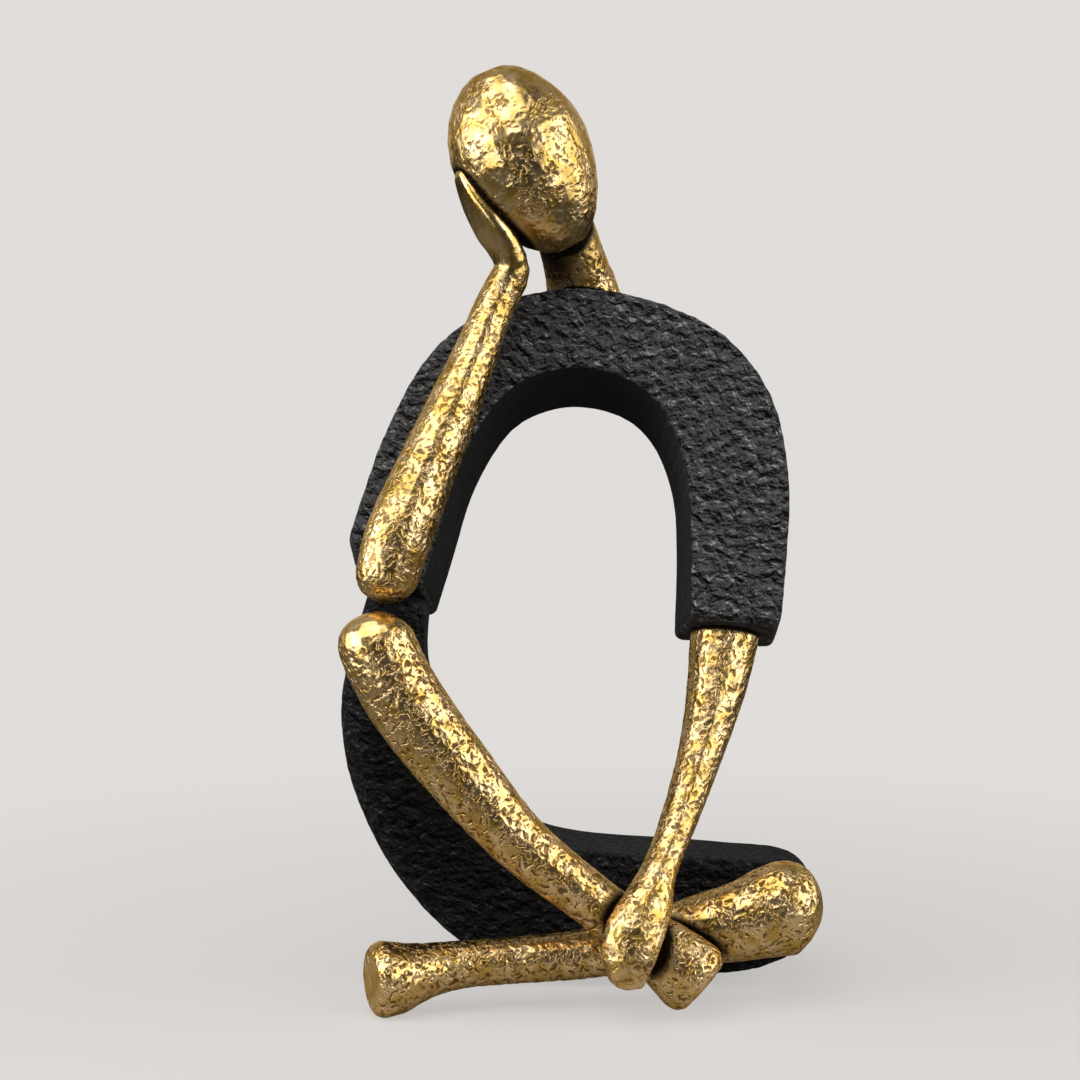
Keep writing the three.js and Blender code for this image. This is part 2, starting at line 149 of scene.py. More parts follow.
def dentsAndMarks(place, size, width, reach):
    s = hammering
    stirred = place.stir(size, s["stir"] * size)
    away = stirred.cells(size)
    offset = stirred.vector("SUBTRACT", stirred, away.also("Position"))
    tilt = offset.vector("NORMALIZE", offset.vector("SUBTRACT", away.also("Color"), (0.5, 0.5, 0.5)))
    across = abs(offset.vector("DOT_PRODUCT", offset, tilt, out=1))
    line = 1 - across.ease(s["markCore"] * width * mm, width * mm)
    marks = line * (1 - away.ease(s["markFade"] * reach, reach)) * away.also("Color").ease(*s["unmarked"])
    return 1 - away.ease(*s["dentEdge"]), marks


# How far a gold surface lies below its casting, in millimetres
def goldDepth(s, place):
    stirred = place.stir(*s["waveStir"])
    broad = place.noise(s["broadSize"], 1.0) * s["broadDepth"]
    waves = stirred.noise(s["waveSize"], 1.0, s["waveTwist"]) * s["waveDepth"]
    dents, marks = dentsAndMarks(place, **leafDents)
    return broad + waves + dents * s["dentDepth"] + marks * s["markDepth"]


# Height of the rubble on the rough black, 0 to 1, in lumps a little wider than they are high
lumps = {"size": 3.0, "stir": (2.5, 2.0), "flatten": (0.95, 1, 1.08), "roughness": 0.55,
         "carvedDetail": 1.5, "shadedDetail": 4.0}


def rubble(place, detail):
    flattened = place.vector("MULTIPLY", place.stir(*lumps["stir"]), lumps["flatten"])
    return flattened.noise(lumps["size"], detail, 0, lumps["roughness"])


# How far the rough black lies below its casting, in millimetres
def blackDepth(s, place):
    return (1 - rubble(place, lumps["carvedDetail"])) * s["lumpDepth"]


# The black is roughest on its front and back, less on its sides, and calm where it faces the middle
# of the opening: the share of the relief that is left
def blackBusy(s, place, normal):
    toMiddle = place.vector("MULTIPLY", place.vector("SUBTRACT", s["calmMiddle"], place), (1, 0, 1))
    inwards = normal.vector("DOT_PRODUCT", normal, place.vector("NORMALIZE", toMiddle), out=1)
    flat = abs(normal.vector("DOT_PRODUCT", normal, s["front"], out=1)).ease(*s["flatFrom"])
    onSides = flat * (1 - s["sideLeft"]) + s["sideLeft"]
    return (1 - inwards.ease(*s["calmFrom"]) * (1 - s["calmLeft"])) * onSides


# Gold is worn smooth in some places, such as the hand, the knees and the soles: middle and radius of each
def wornSmooth(s, place):
    busy = place.steady(s["busy"])
    for middle, radius in s.get("smooth", ()):
        away = place.vector("DISTANCE", place, [value * mm for value in middle], out=1)
        rougher = away.ease(s["smoothCore"] * radius * mm, radius * mm)
        busy = busy * (rougher * (1 - s["smoothLeft"]) + s["smoothLeft"])
    return busy


# How close the neighbouring castings are: 1 where they touch, 0 from their reach in millimetres on
touching = 0.2 * mm


def closeness(place, neighbours):
    close = place.steady(0)
    for neighbour, reach in neighbours.items():
        shape = place.add("GeometryNodeObjectInfo", {}, {"Object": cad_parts[neighbour]}, "Geometry")
        gap = place.add("GeometryNodeProximity", {"target_element": "FACES"}, {"Geometry": shape}, "Distance")
        close = close.most(1 - gap.ease(touching, reach * mm))
    return close


# A modifier that sinks a surface along its normals, within the frame's box, and keeps as attributes
# how rough the finish is ("busy") and, on gold, how close the next casting is ("tucked"), which the gold
# paints as shade
shelfFlat = (0.4 * mm, 2.0 * mm)  # heights between which the finish starts, flat where it stands


def carveTree(s, depthOf, busyOf):
    tree = bpy.data.node_groups.new("carve_" + s["node"], "GeometryNodeTree")
    tree.interface.new_socket("Geometry", in_out="INPUT", socket_type="NodeSocketGeometry")
    tree.interface.new_socket("Geometry", in_out="OUTPUT", socket_type="NodeSocketGeometry")
    start = Wire(tree)
    body = start.add("NodeGroupInput", {}, {})
    place = start.add("GeometryNodeInputPosition", {}, {})
    normal = start.add("GeometryNodeInputNormal", {}, {})
    busy = busyOf(place, normal)
    relief = depthOf(s, place) * busy
    height = place.add("ShaderNodeSeparateXYZ", {}, {0: place}, 2)
    depth = (relief - busy * s["swell"]) * height.ease(*shelfFlat)
    push = normal.add("ShaderNodeVectorMath", {"operation": "SCALE"}, {0: normal, "Scale": depth * -mm})
    carved = push.vector("ADD", place, push)
    carved = carved.vector("MINIMUM", carved.vector("MAXIMUM", carved, tuple(cadBox[0])), tuple(cadBox[1]))
    attributes = {"busy": busy}
    if "neighbours" in s:
        attributes["tucked"] = closeness(place, s["neighbours"])
    kept = body
    for name, value in attributes.items():
        kept = kept.add("GeometryNodeStoreNamedAttribute", {"data_type": "FLOAT", "domain": "POINT"},
                        {"Geometry": kept, "Name": name, "Value": value})
    moved = kept.add("GeometryNodeSetPosition", {}, {"Geometry": kept, "Position": carved})
    done = tree.nodes.new("NodeGroupOutput")
    tree.links.new(moved.socket, done.inputs[0])
    return tree


def deselectAll():
    if bpy.context.object and bpy.context.object.mode != "OBJECT":
        bpy.ops.object.mode_set(mode="OBJECT")
    bpy.ops.object.select_all(action="DESELECT")


def newPiece(name):  # an empty mesh at the origin, open in edit mode
    deselectAll()
    bpy.ops.object.add(type="MESH")
    piece = bpy.context.object
    piece.name = piece.data.name = name
    bpy.ops.object.mode_set(mode="EDIT")
    return piece


def pickVerts(piece, wanted):
    mesh = bmesh.from_edit_mesh(piece.data)
    mesh.select_mode = {"VERT"}
    for vert in mesh.verts:
        vert.select = wanted(vert)
    mesh.select_flush_mode()
    bmesh.update_edit_mesh(piece.data)


def turn(rotation, pivot):  # with no window the operator turns the other way
    for axis, angle in zip("XYZ", rotation.to_euler("XYZ")):
        if abs(angle) > 1e-6:
            bpy.ops.transform.rotate(value=-angle, orient_axis=axis, orient_type="GLOBAL",
                                     center_override=pivot)


def modifier(piece, kind, **settings):
    bpy.context.view_layer.objects.active = piece
    piece.select_set(True)
    added = piece.modifiers.new(kind.title(), kind)
    for name, value in settings.items():
        setattr(added, name, value)
    bpy.ops.object.modifier_apply(modifier=added.name)


# Catmull-Rom through rows of numbers, at a share of the way from the first to the last
def through(rows, share, ends="extended"):
    spot = share * (len(rows) - 1)
    i = min(int(spot), len(rows) - 2)
    t = spot - i
    a, b = rows[i], rows[i + 1]
    reach = 1 if ends == "extended" else 0
    before = rows[i - 1] if i else [p + reach * (p - q) for p, q in zip(a, b)]
    after = rows[i + 2] if i + 2 < len(rows) else [q + reach * (q - p) for p, q in zip(a, b)]
    values = []
    for p0, p1, p2, p3 in zip(before, a, b, after):
        m0, m1 = (p2 - p0) / 2, (p3 - p1) / 2
        bend = 3 * (p2 - p1) - 2 * m0 - m1
        values.append(p1 + m0 * t + bend * t * t + (2 * (p1 - p2) + m0 + m1) * t ** 3)
    return values


# Shares of the way that lie at given distances along the middle line, and the line's length
def sharesAt(middleAt, distancesOf):
    count = 240  # steps that the line is measured in
    points = [middleAt(i / count) for i in range(count + 1)]
    run = [0.0]
    for a, b in zip(points, points[1:]):
        run.append(run[-1] + (b - a).length)
    shares = []
    for distance in distancesOf(run[-1]):
        i = next((i for i in range(1, count) if run[i] >= distance), count)
        shares.append((i - (run[i] - distance) / (run[i] - run[i - 1])) / count)
    return shares, run[-1]


# Distances of the rings: close together in the rounded ends, and even between them
def roundedDistances(length, startRound, endRound, evenCount):
    first, count = 0.25, 6  # angle of an end's first ring, and the rings in an end
    angles = [first + (math.pi / 2 - first) * i / count for i in range(count)]
    arc = [1 - math.cos(angle) for angle in angles]
    reach = length - startRound - endRound
    even = [startRound + reach * i / evenCount for i in range(evenCount + 1)]
    return [startRound * a for a in arc] + even + [length - endRound * a for a in reversed(arc)]


def fullness(distance, roundLength):  # how far a rounded end has opened, 0 to 1
    left = 1 - min(distance / roundLength, 1)
    return math.sqrt(max(1 - left * left, 0))


benchHeight = -1.0  # spindles are turned well below the floor, one ring every 5 mm
ringStep = 5 * mm


def onBench(ring):
    return Vector((0, 0, benchHeight + ring * ringStep))


def inRing(vert, ring):
    return abs(vert.co.z - onBench(ring).z) < 0.1 * ringStep


# Extrudes the selected face of half width 1 upwards, with a size for each ring.
# A ring is (middle, rotation, half width across, half width in depth), in millimetres.
def extrudeRings(rings):
    across = deep = 1
    for i, (_, _, nextAcross, nextDeep) in enumerate(rings):
        if i:
            bpy.ops.mesh.extrude_region_move(TRANSFORM_OT_translate={"value": (0, 0, ringStep)})
        growth = (nextAcross * mm / across, nextDeep * mm / deep, 1)
        bpy.ops.transform.resize(value=growth, center_override=onBench(i))
        across, deep = nextAcross * mm, nextDeep * mm


# Turns each ring of the straight spindle, and carries it to its place
def placeRings(piece, rings):
    for i, (middle, rotation, _, _) in enumerate(rings):
        pickVerts(piece, lambda vert: inRing(vert, i))
        turn(rotation, onBench(i))
        bpy.ops.transform.translate(value=Vector(middle) * mm - onBench(i))
    bpy.ops.mesh.select_all(action="SELECT")
    bpy.ops.mesh.normals_make_consistent(inside=False)


# A limb that swells and tapers through its stations: x, y, z, half width across, half width in depth,
# and if it has them a twist in degrees and a share of flatness, 1 for flat sides with round edges
nearby = 0.004  # share of the way before and after a ring that gives its direction
leastFlat = 0.05  # millimetres that a flat has to reach to be drawn


def limbRings(s):
    rows = s["stations"]
    distancesOf = lambda length: roundedDistances(length, s["startRound"], s["endRound"], s["rings"])
    shares, length = sharesAt(lambda share: Vector(through(rows, share)[:3]), distancesOf)
    facing = Vector(s["facing"])
    rings, flats = [], []
    for share, distance in zip(shares, distancesOf(length)):
        row = through(rows, share)
        ahead = Vector(through(rows, min(share + nearby, 1))[:3])
        behind = Vector(through(rows, max(share - nearby, 0))[:3])
        along = (ahead - behind).normalized()
        side = along.cross(facing).normalized()
        rotation = Matrix((side, along.cross(side), along)).transposed()
        full = s["startBlunt"] + (1 - s["startBlunt"]) * fullness(distance, s["startRound"])
        full *= s["endBlunt"] + (1 - s["endBlunt"]) * fullness(length - distance, s["endRound"])
        flat = 0
        if len(row) > 5:
            rotation = rotation @ Matrix.Rotation(math.radians(row[5]), 3, "Z")
            flat = (row[4] - row[3]) * full * min(max(row[6], 0), 1)
        rings.append((row[:3], rotation, row[3] * full, row[4] * full - flat))
        flats.append(flat)
    return rings, flats


def limb(name, s):
    piece = newPiece(name)
    rings, flats = limbRings(s)
    bpy.ops.mesh.primitive_circle_add(vertices=s["sides"], radius=1, fill_type="NGON", location=onBench(0))
    extrudeRings(rings)
    for i, flat in enumerate(flats):
        for sign in (-1, 1) if flat > leastFlat else ():  # front and back edge drawn apart
            pickVerts(piece, lambda vert: inRing(vert, i) and vert.co.y * sign > 0.01 * mm)
            bpy.ops.transform.translate(value=(0, sign * flat * mm, 0))
    placeRings(piece, rings)
    return piece


def cutFlat(place, outwards):  # a flat in a casting, by a place on it and its direction
    bpy.ops.mesh.select_all(action="SELECT")
    bpy.ops.mesh.bisect(plane_co=Vector(place) * mm, plane_no=outwards, clear_outer=True, use_fill=True)


# Closes the modelled form into one fine even skin, and carves the finish into it
skin = {"factor": 0.5, "iterations": 8}


def finishCasting(piece, voxel, tree):
    bpy.ops.object.mode_set(mode="OBJECT")
    modifier(piece, "REMESH", mode="VOXEL", voxel_size=voxel * mm, adaptivity=0)
    modifier(piece, "SMOOTH", **skin)
    modifier(piece, "NODES", node_group=tree)
    bpy.ops.object.shade_smooth()
    triangles = sum(len(face.vertices) - 2 for face in piece.data.polygons)
    print(piece.name, "triangles", triangles)


# The camera stands a little above level, as the photo's did
camera = {"lens": 110, "distance": 0.940, "elevation": 6.5, "target": (-0.0118, 0.0110, 0.1275)}

tilt = math.radians(camera["elevation"])
seen = Vector(camera["target"]) + camera["distance"] * Vector((0, -math.cos(tilt), math.sin(tilt)))
bpy.ops.object.camera_add(location=seen, rotation=(math.pi / 2 - tilt, 0, 0))
bpy.context.object.data.lens = camera["lens"]
scene.camera = bpy.context.object

softboxes = {
    "overhead": {"at": (-0.28, -0.35, 1.00), "size": (1.10, 1.05), "power": 8.3},
    "rightPanel": {"at": (0.95, -0.15, 0.42), "size": (0.95, 1.15), "power": 7.5},
    "rightFront": {"at": (0.66, -0.72, 0.36), "size": (0.26, 0.70), "power": 2.0},
    "leftPanel": {"at": (-0.98, -0.25, 0.28), "size": (1.00, 0.9), "power": 9.6},
    "lowLeft": {"at": (-0.52, -0.62, 0.02), "size": (0.16, 0.42), "power": 0.8},
    "frontFill": {"at": (-0.1, -1.3, 0.6), "size": (0.8, 0.6), "power": 1.5},  # not seen in the gold
}
figureMiddle = Vector((0, 0, 0.13))
for name, s in softboxes.items():
    aim = figureMiddle - Vector(s["at"])
    bpy.ops.object.light_add(type="AREA", location=s["at"], rotation=aim.to_track_quat("-Z", "Y").to_euler())
    lamp = bpy.context.object
    lamp.name = name
    lamp.data.shape = "RECTANGLE"
    lamp.data.size, lamp.data.size_y = s["size"]
    lamp.data.energy = s["power"]
    lamp.visible_glossy = name != "frontFill"

# The pale backdrop stands behind the figurine, and the metal shows it there; it dims to the sides, and
# the rest of the room is dark
room = {"backdrop": (0.745, 0.723, 0.701, 1), "dim": (0.042, 0.042, 0.042, 1), "edge": (0.80, 0.93),
        "sides": (0.0, 0.5), "glow": 0.40}
world = bpy.data.worlds.new("studio")
scene.world = world
world.use_nodes = True
world.node_tree.nodes.clear()
start = Wire(world.node_tree)


def lightPath(start, *kinds):
    rays = [start.add("ShaderNodeLightPath", {}, {}, kind) for kind in kinds]
    return rays[0] if len(rays) == 1 else rays[0].most(lightPath(start, *kinds[1:]))


direction = start.add("ShaderNodeTexCoord", {}, {}, "Generated")
backwards = start.add("ShaderNodeSeparateXYZ", {}, {0: direction}, 1)
behind = backwards.ease(*room["edge"]).most(backwards.ease(*room["sides"]) * room["glow"])
shown = lightPath(start, "Is Glossy Ray", "Is Transmission Ray") * behind
around = shown.most(lightPath(start, "Is Camera Ray")).blend(room["dim"], room["backdrop"])
light = start.add("ShaderNodeBackground", {}, {"Color": around, "Strength": 1.0})
outlet = world.node_tree.nodes.new("ShaderNodeOutputWorld")
world.node_tree.links.new(light.socket, outlet.inputs["Surface"])
print("camera and light set")


def newMaterial(name):
    material = bpy.data.materials.new(name)
    material.use_nodes = True
    material.node_tree.nodes.clear()
    return material, Wire(material.node_tree)


def surface(material, shader):
    outlet = material.node_tree.nodes.new("ShaderNodeOutputMaterial")
    material.node_tree.links.new(shader.socket, outlet.inputs["Surface"])
    return material


def attribute(start, name):
    return start.add("ShaderNodeAttribute", {"attribute_name": name}, {}, "Fac")


# Antique gold leaf: bright on the high places, brown in dents and marks, and painted black shade where the
# next casting comes close. Sizes and heights in millimetres; a pair is where a mask starts and where it is
# full.
goldLook = {
    "deep": (0.66, 0.41, 0.10, 1), "pale": (0.91, 0.65, 0.33, 1), "toneSize": 4.0, "paleFrom": (0.3, 0.7),
    "patchSize": 11.0, "patchFrom": (0.42, 0.54), "patchBusy": (0.15, 0.40), "allBusy": (0.45, 0.9),
    "markLeast": 0.58, "markBusy": 0.38, "smallMarks": 0.8, "dentLeast": 0.5, "dentBusy": 0.5,
    "brown": (0.100, 0.048, 0.012, 1), "brownMarks": 0.95, "brownDents": 0.24, "brownWash": 0.30,
    "washSize": 6.0, "washTwist": 0.5, "washFrom": (0.50, 0.80),
    "paintedShade": (0.006, 0.0035, 0.002, 1), "paintedShadeSize": 2.2, "paintedShadeFrom": (0.05, 0.30), "shadeNearFrom": (0.15, 0.80),
    "roughness": 0.20, "roughSize": 1.8, "roughSpread": 0.12, "roughDark": 0.28, "metalLost": 0.4,
    "grainSize": 0.9, "grainHeight": 0.03, "dentDepth": 0.05, "smallDentDepth": 0.04, "markDepth": 0.14,
    "specular": 0.15, "specularTint": (0.80, 0.66, 0.44, 1),
}


def goldMaterial(s):
    material, start = newMaterial("antiqueGold")
    place = start.add("ShaderNodeTexCoord", {}, {}, "Object")
    busy = attribute(start, "busy")
    patches = place.noise(s["patchSize"], 1.0).ease(*s["patchFrom"]) * busy.ease(*s["patchBusy"])
    patchy = busy.ease(*s["allBusy"]).most(patches)
    dents, marks = dentsAndMarks(place, **leafDents)
    smallOnes, smallMarks = dentsAndMarks(place, **smallDents)
    marks = marks.most(smallMarks * s["smallMarks"]) * patchy * (busy * s["markBusy"] + s["markLeast"])
    # painted shade: the gold turns black near the next casting, broken up by noise
    paintedShade = place.noise(s["paintedShadeSize"], 2.0).ease(*s["paintedShadeFrom"])
    tucked = attribute(start, "tucked").ease(*s["shadeNearFrom"]) * paintedShade
    wash = place.noise(s["washSize"], 2.0, s["washTwist"]).ease(*s["washFrom"]) * s["brownWash"]
    wash = wash.most(dents * patchy * s["brownDents"])
    gold = place.noise(s["toneSize"], 2.0).ease(*s["paleFrom"]).blend(s["deep"], s["pale"])
    aged = (marks * s["brownMarks"]).most(wash).blend(gold, s["brown"])
    colour = tucked.blend(aged, s["paintedShade"])
    dark = marks.most(tucked)
    roughness = dark * s["roughDark"] + place.noise(s["roughSize"], 2.0) * s["roughSpread"] + s["roughness"]
    sunk = (dents * s["dentDepth"] + smallOnes * s["smallDentDepth"]) * patchy
    sunk = sunk * (busy * s["dentBusy"] + s["dentLeast"])
    ripple = place.noise(s["grainSize"], 1.0) * s["grainHeight"] - sunk - marks * s["markDepth"]
    bump = start.add("ShaderNodeBump", {}, {"Strength": 1.0, "Distance": mm, "Height": ripple})
    shader = start.add("ShaderNodeBsdfPrincipled", {}, {
        "Base Color": colour, "Metallic": 1 - dark * s["metalLost"], "Roughness": roughness, "Normal": bump,
        "Specular IOR Level": s["specular"], "Specular Tint": s["specularTint"]})
    return surface(material, shader)


# Rough matt black with painted light from the upper right: painted shade on the slopes that face down, grey
# on those that face up, and painted glints on the steepest of them. Sizes and heights in millimetres.
blackLook = {
    "roughFrom": (0.15, 0.45), "paintedLightStep": (0.06, 0, 0.17), "paintedLitFrom": (-0.08, 0.04),
    "paintedGlintFrom": (0.03, 0.10), "paintedGlintSize": 1.8, "paintedGlintPatches": (0.42, 0.60), "paintedGlintTone": 5,
    "paintedGlintMetal": 0.7, "grainSize": 0.7, "wornSize": 1.4, "wornFrom": (0.36, 0.66), "wornTones": (0.3, 1.9),
    "roughness": 0.84, "paintedGlintRoughness": 0.36, "grainRoughness": 0.06,
    "lumpHeight": 1.6, "grainHeight": 0.10, "calmLeft": 0.25,
}
coatLook = blackLook | {"lump": 0.058, "calm": 0.005, "paintedShadeTone": 0.002, "specular": 0.26}
# The hips are a darker copy of the coat's black: painted shade for the seat and thighs under the coat and
# limbs
hipsShadedLook = blackLook | {"lump": 0.013, "calm": 0.015, "paintedShadeTone": 0.0006, "specular": 0.13}


def grey(tone, blue=1.0):
    return tone, tone, tone * blue, 1


def blackMaterial(name, s):
    material, start = newMaterial(name)
    place = start.add("ShaderNodeTexCoord", {}, {}, "Object")
    rough = attribute(start, "busy").ease(*s["roughFrom"])
    paintedLightStep = [value * mm for value in s["paintedLightStep"]]
    # painted light: the rubble is read a small step to the upper right and back, and the difference paints
    # the slopes facing that way grey and the others dark
    above = rubble(place.vector("ADD", place, paintedLightStep), lumps["shadedDetail"])
    below = rubble(place.vector("SUBTRACT", place, paintedLightStep), lumps["shadedDetail"])
    slope = (below - above) * rough
    paintedLitSide = slope.ease(*s["paintedLitFrom"]).most(1 - rough)
    # painted glints on the steepest lit slopes, where the noise lets them through
    paintedGlint = slope.ease(*s["paintedGlintFrom"]) * place.noise(s["paintedGlintSize"], 1.0).ease(*s["paintedGlintPatches"])
    grain = place.noise(s["grainSize"], 2.0)
    lowTone, highTone = [grey(s["calm"] * share) for share in s["wornTones"]]
    worn = place.noise(s["wornSize"], 3.0).ease(*s["wornFrom"]).blend(lowTone, highTone)
    body = rough.blend(worn, grey(s["lump"], 1.02))
    withPaintedGlints = paintedGlint.blend(body, grey(s["lump"] * s["paintedGlintTone"], 1.02))
    colour = paintedLitSide.blend(grey(s["paintedShadeTone"], 1.05), withPaintedGlints)
    roughness = s["roughness"] - paintedGlint * s["paintedGlintRoughness"] + grain * s["grainRoughness"]
    relief = above * s["lumpHeight"] + grain * s["grainHeight"]
    relief = relief * (rough * (1 - s["calmLeft"]) + s["calmLeft"])
    bump = start.add("ShaderNodeBump", {}, {"Strength": 1.0, "Distance": mm, "Height": relief})
    shader = start.add("ShaderNodeBsdfPrincipled", {}, {
        "Base Color": colour, "Metallic": paintedGlint.most(1 - paintedLitSide) * s["paintedGlintMetal"], "Roughness": roughness,
        "Normal": bump, "Specular IOR Level": s["specular"]})
    return surface(material, shader)


steelLook = {"drawnSize": 0.6, "dark": (0.42, 0.43, 0.45, 1), "light": (0.60, 0.61, 0.63, 1),
             "roughness": 0.25, "roughSpread": 0.2}


def steelMaterial(s):
    material, start = newMaterial("dowelSteel")
    place = start.add("ShaderNodeTexCoord", {}, {}, "Object")
    drawn = place.noise(s["drawnSize"], 3.0)
    shader = start.add("ShaderNodeBsdfPrincipled", {}, {
        "Base Color": drawn.blend(s["dark"], s["light"]), "Metallic": 1.0,
        "Roughness": drawn * s["roughSpread"] + s["roughness"]})
    return surface(material, shader)


feltLook = {"fibreSize": 0.35, "stir": (0.8, 0.6), "dark": (0.006, 0.006, 0.007, 1),
            "light": (0.030, 0.030, 0.032, 1), "height": 0.2, "roughness": 0.95, "sheen": 0.3}


def feltMaterial(s):
    material, start = newMaterial("blackFelt")
    place = start.add("ShaderNodeTexCoord", {}, {}, "Object")
    fibre = place.stir(*s["stir"]).noise(s["fibreSize"], 3.0)
    bump = start.add("ShaderNodeBump", {}, {"Strength": 1.0, "Distance": s["height"] * mm, "Height": fibre})
    shader = start.add("ShaderNodeBsdfPrincipled", {}, {
        "Base Color": fibre.blend(s["dark"], s["light"]), "Roughness": s["roughness"],
        "Sheen Weight": s["sheen"], "Normal": bump})
    return surface(material, shader)


gold = goldMaterial(goldLook)
coatBlack = blackMaterial("coatBlack", coatLook)
hipsShadedBlack = blackMaterial("hipsShadedBlack", hipsShadedLook)
steel = steelMaterial(steelLook)
felt = feltMaterial(feltLook)
print("materials made")


# What every visible casting gets at the end
def handOver(piece, node, material):
    piece.data.materials.clear()
    piece.data.materials.append(material)
    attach(piece, "root")
    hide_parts(node)


upright = (0, -1, 0)
leaning = (0, -0.940, 0.342)  # square to the coat's lean

# Small dents all over the limbs; the head keeps broad soft ones
limbFinish = {"broadSize": 8.0, "broadDepth": 0.30, "waveSize": 3.2, "waveDepth": 0.40,
              "waveStir": (4.0, 1.5), "waveTwist": 0.4, "dentDepth": 0.13, "markDepth": 0.06,
              "swell": 0.42, "busy": 1.0, "smoothCore": 0.55, "smoothLeft": 0.15}
headFinish = limbFinish | {"broadSize": 10.0, "broadDepth": 0.7, "waveSize": 4.0, "waveDepth": 0.42,
                           "dentDepth": 0.14, "markDepth": 0.10, "swell": 0.9, "busy": 0.5}

# Each casting's neighbours, with a reach in millimetres, set the painted black shade on the gold near them
headEgg = {
    "node": "head", "neighbours": {"right_forearm": 7.0, "neck": 5.0},
    "sides": 28, "rings": 14, "facing": leaning, "voxel": 0.32,
    "startRound": 26, "startBlunt": 0, "endRound": 29, "endBlunt": 0,
    "stations": [
        (-26.8, 14.0, 260.5, 19.0, 20.0),
        (-16.7, 13.9, 235.9, 19.6, 20.0),
        (-2.4, 12.1, 210.4, 17.0, 17.0),
    ],
}
neckStem = {
    # the raised forearm's long reach paints shade across the neck's left side
    "node": "neck", "neighbours": {"head": 8.0, "shoulder_arch": 2.0, "right_forearm": 34.0},
    "sides": 24, "rings": 8, "facing": leaning, "voxel": 0.34,
    "startRound": 1, "startBlunt": 0.9, "endRound": 3, "endBlunt": 0.5,
    "stations": [
        (1.6, 35.2, 184.6, 12.6, 11.0),
        (0.6, 34.0, 196.0, 10.8, 10.6),
        (-1.9, 29.1, 206.0, 9.0, 9.5),
        (-6.9, 21.1, 222.0, 8.4, 9.0),
    ],
}
raisedForearm = {
    "node": "right_forearm", "smooth": [((-29, 7, 222), 24)],
    "neighbours": {"right_shin": 7.0, "seat_and_thighs": 1.2, "shoulder_arch": 1.2},
    "sides": 24, "rings": 46, "facing": leaning, "voxel": 0.34,
    "startRound": 8, "startBlunt": 0, "endRound": 2.5, "endBlunt": 0.2, "busy": 0.75,
    "stations": [
        (-54.8, -15.9, 113.0, 8.6, 8.6, 0, 0),
        (-53.7, -16.3, 122.3, 9.0, 9.1, 0, 0),
        (-50.3, -14.5, 133.2, 9.4, 9.4, 0, 0),
        (-44.8, -9.6, 146.6, 8.6, 9.0, 0, 0),
        (-37.6, -3.6, 162.9, 7.7, 8.2, 0, 0),
        (-30.6, 2.6, 179.3, 6.4, 6.9, 0, 0),
        (-24.4, 7.7, 194.5, 5.6, 6.2, 0, 0),
        (-19.9, 9.4, 204.0, 5.3, 6.0, 0, 0),
        (-21.8, 7.8, 210.6, 3.8, 6.4, 20, 0.6),
        (-25.9, 6.2, 216.4, 2.7, 6.3, 24, 1),
        (-30.4, 6.4, 223.2, 2.1, 5.2, 20, 1),
        (-33.5, 7.2, 229.6, 1.6, 3.6, 18, 1),
        (-34.4, 7.8, 232.4, 1.3, 2.4, 18, 1),
    ],
}
loweredForearm = {
    "node": "left_forearm",
    "cuts": [((20.5, -46, 21.6), (0.927, 0, -0.376)), ((12.5, -49.2, 17.5), (0.15, -0.85, -0.5))],
    "neighbours": {"shoulder_arch": 2.5, "right_shin": 4.0, "left_shin": 4.0},
    "sides": 24, "rings": 28, "facing": upright, "voxel": 0.34,
    "startRound": 1, "startBlunt": 0.9, "endRound": 4, "endBlunt": 0.3, "busy": 0.75,
    "stations": [
        (42.6, 5.6, 112.1, 9.6, 9.6),
        (40.2, 0.7, 100.1, 9.6, 9.4),
        (37.7, -5.3, 87.1, 8.3, 8.3),
        (33.3, -13.3, 71.1, 6.4, 6.5),
        (26.6, -23.2, 53.1, 5.1, 5.4),
        (21.0, -32.1, 41.1, 5.0, 5.2),
        (17.2, -39.6, 32.5, 7.2, 6.0),
        (14.0, -43.1, 24.5, 8.8, 6.6),
        (13.1, -44.6, 16.5, 7.4, 6.0),
        (13.5, -45.0, 10.5, 4.2, 4.2),
    ],
}
crossedShin = {
    "node": "right_shin", "smooth": [((-59, -30, 109), 11), ((34, -36, 7), 8)],
    "cuts": [((0, 0, 0), (0, 0, -1))],
    "neighbours": {"right_forearm": 8.0, "left_forearm": 7.0, "left_shin": 6.0, "seat_and_thighs": 6.0},
    "sides": 24, "rings": 28, "facing": upright, "voxel": 0.36,
    "startRound": 9, "startBlunt": 0, "endRound": 6, "endBlunt": 0.55,
    "stations": [
        (-58.8, -25.0, 111.6, 10.2, 9.8),
        (-56.3, -27.1, 102.1, 10.7, 10.5),
        (-48.5, -28.6, 87.2, 10.8, 10.6),
        (-34.1, -29.6, 68.0, 9.9, 9.8),
        (-17.6, -30.0, 48.8, 8.2, 8.4),
        (1.5, -30.0, 33.0, 7.3, 7.8),
        (13.5, -30.5, 24.2, 7.5, 7.6),
        (23.2, -32.0, 17.3, 9.4, 8.6),
        (33.4, -33.5, 8.4, 11.4, 9.8),
    ],
}
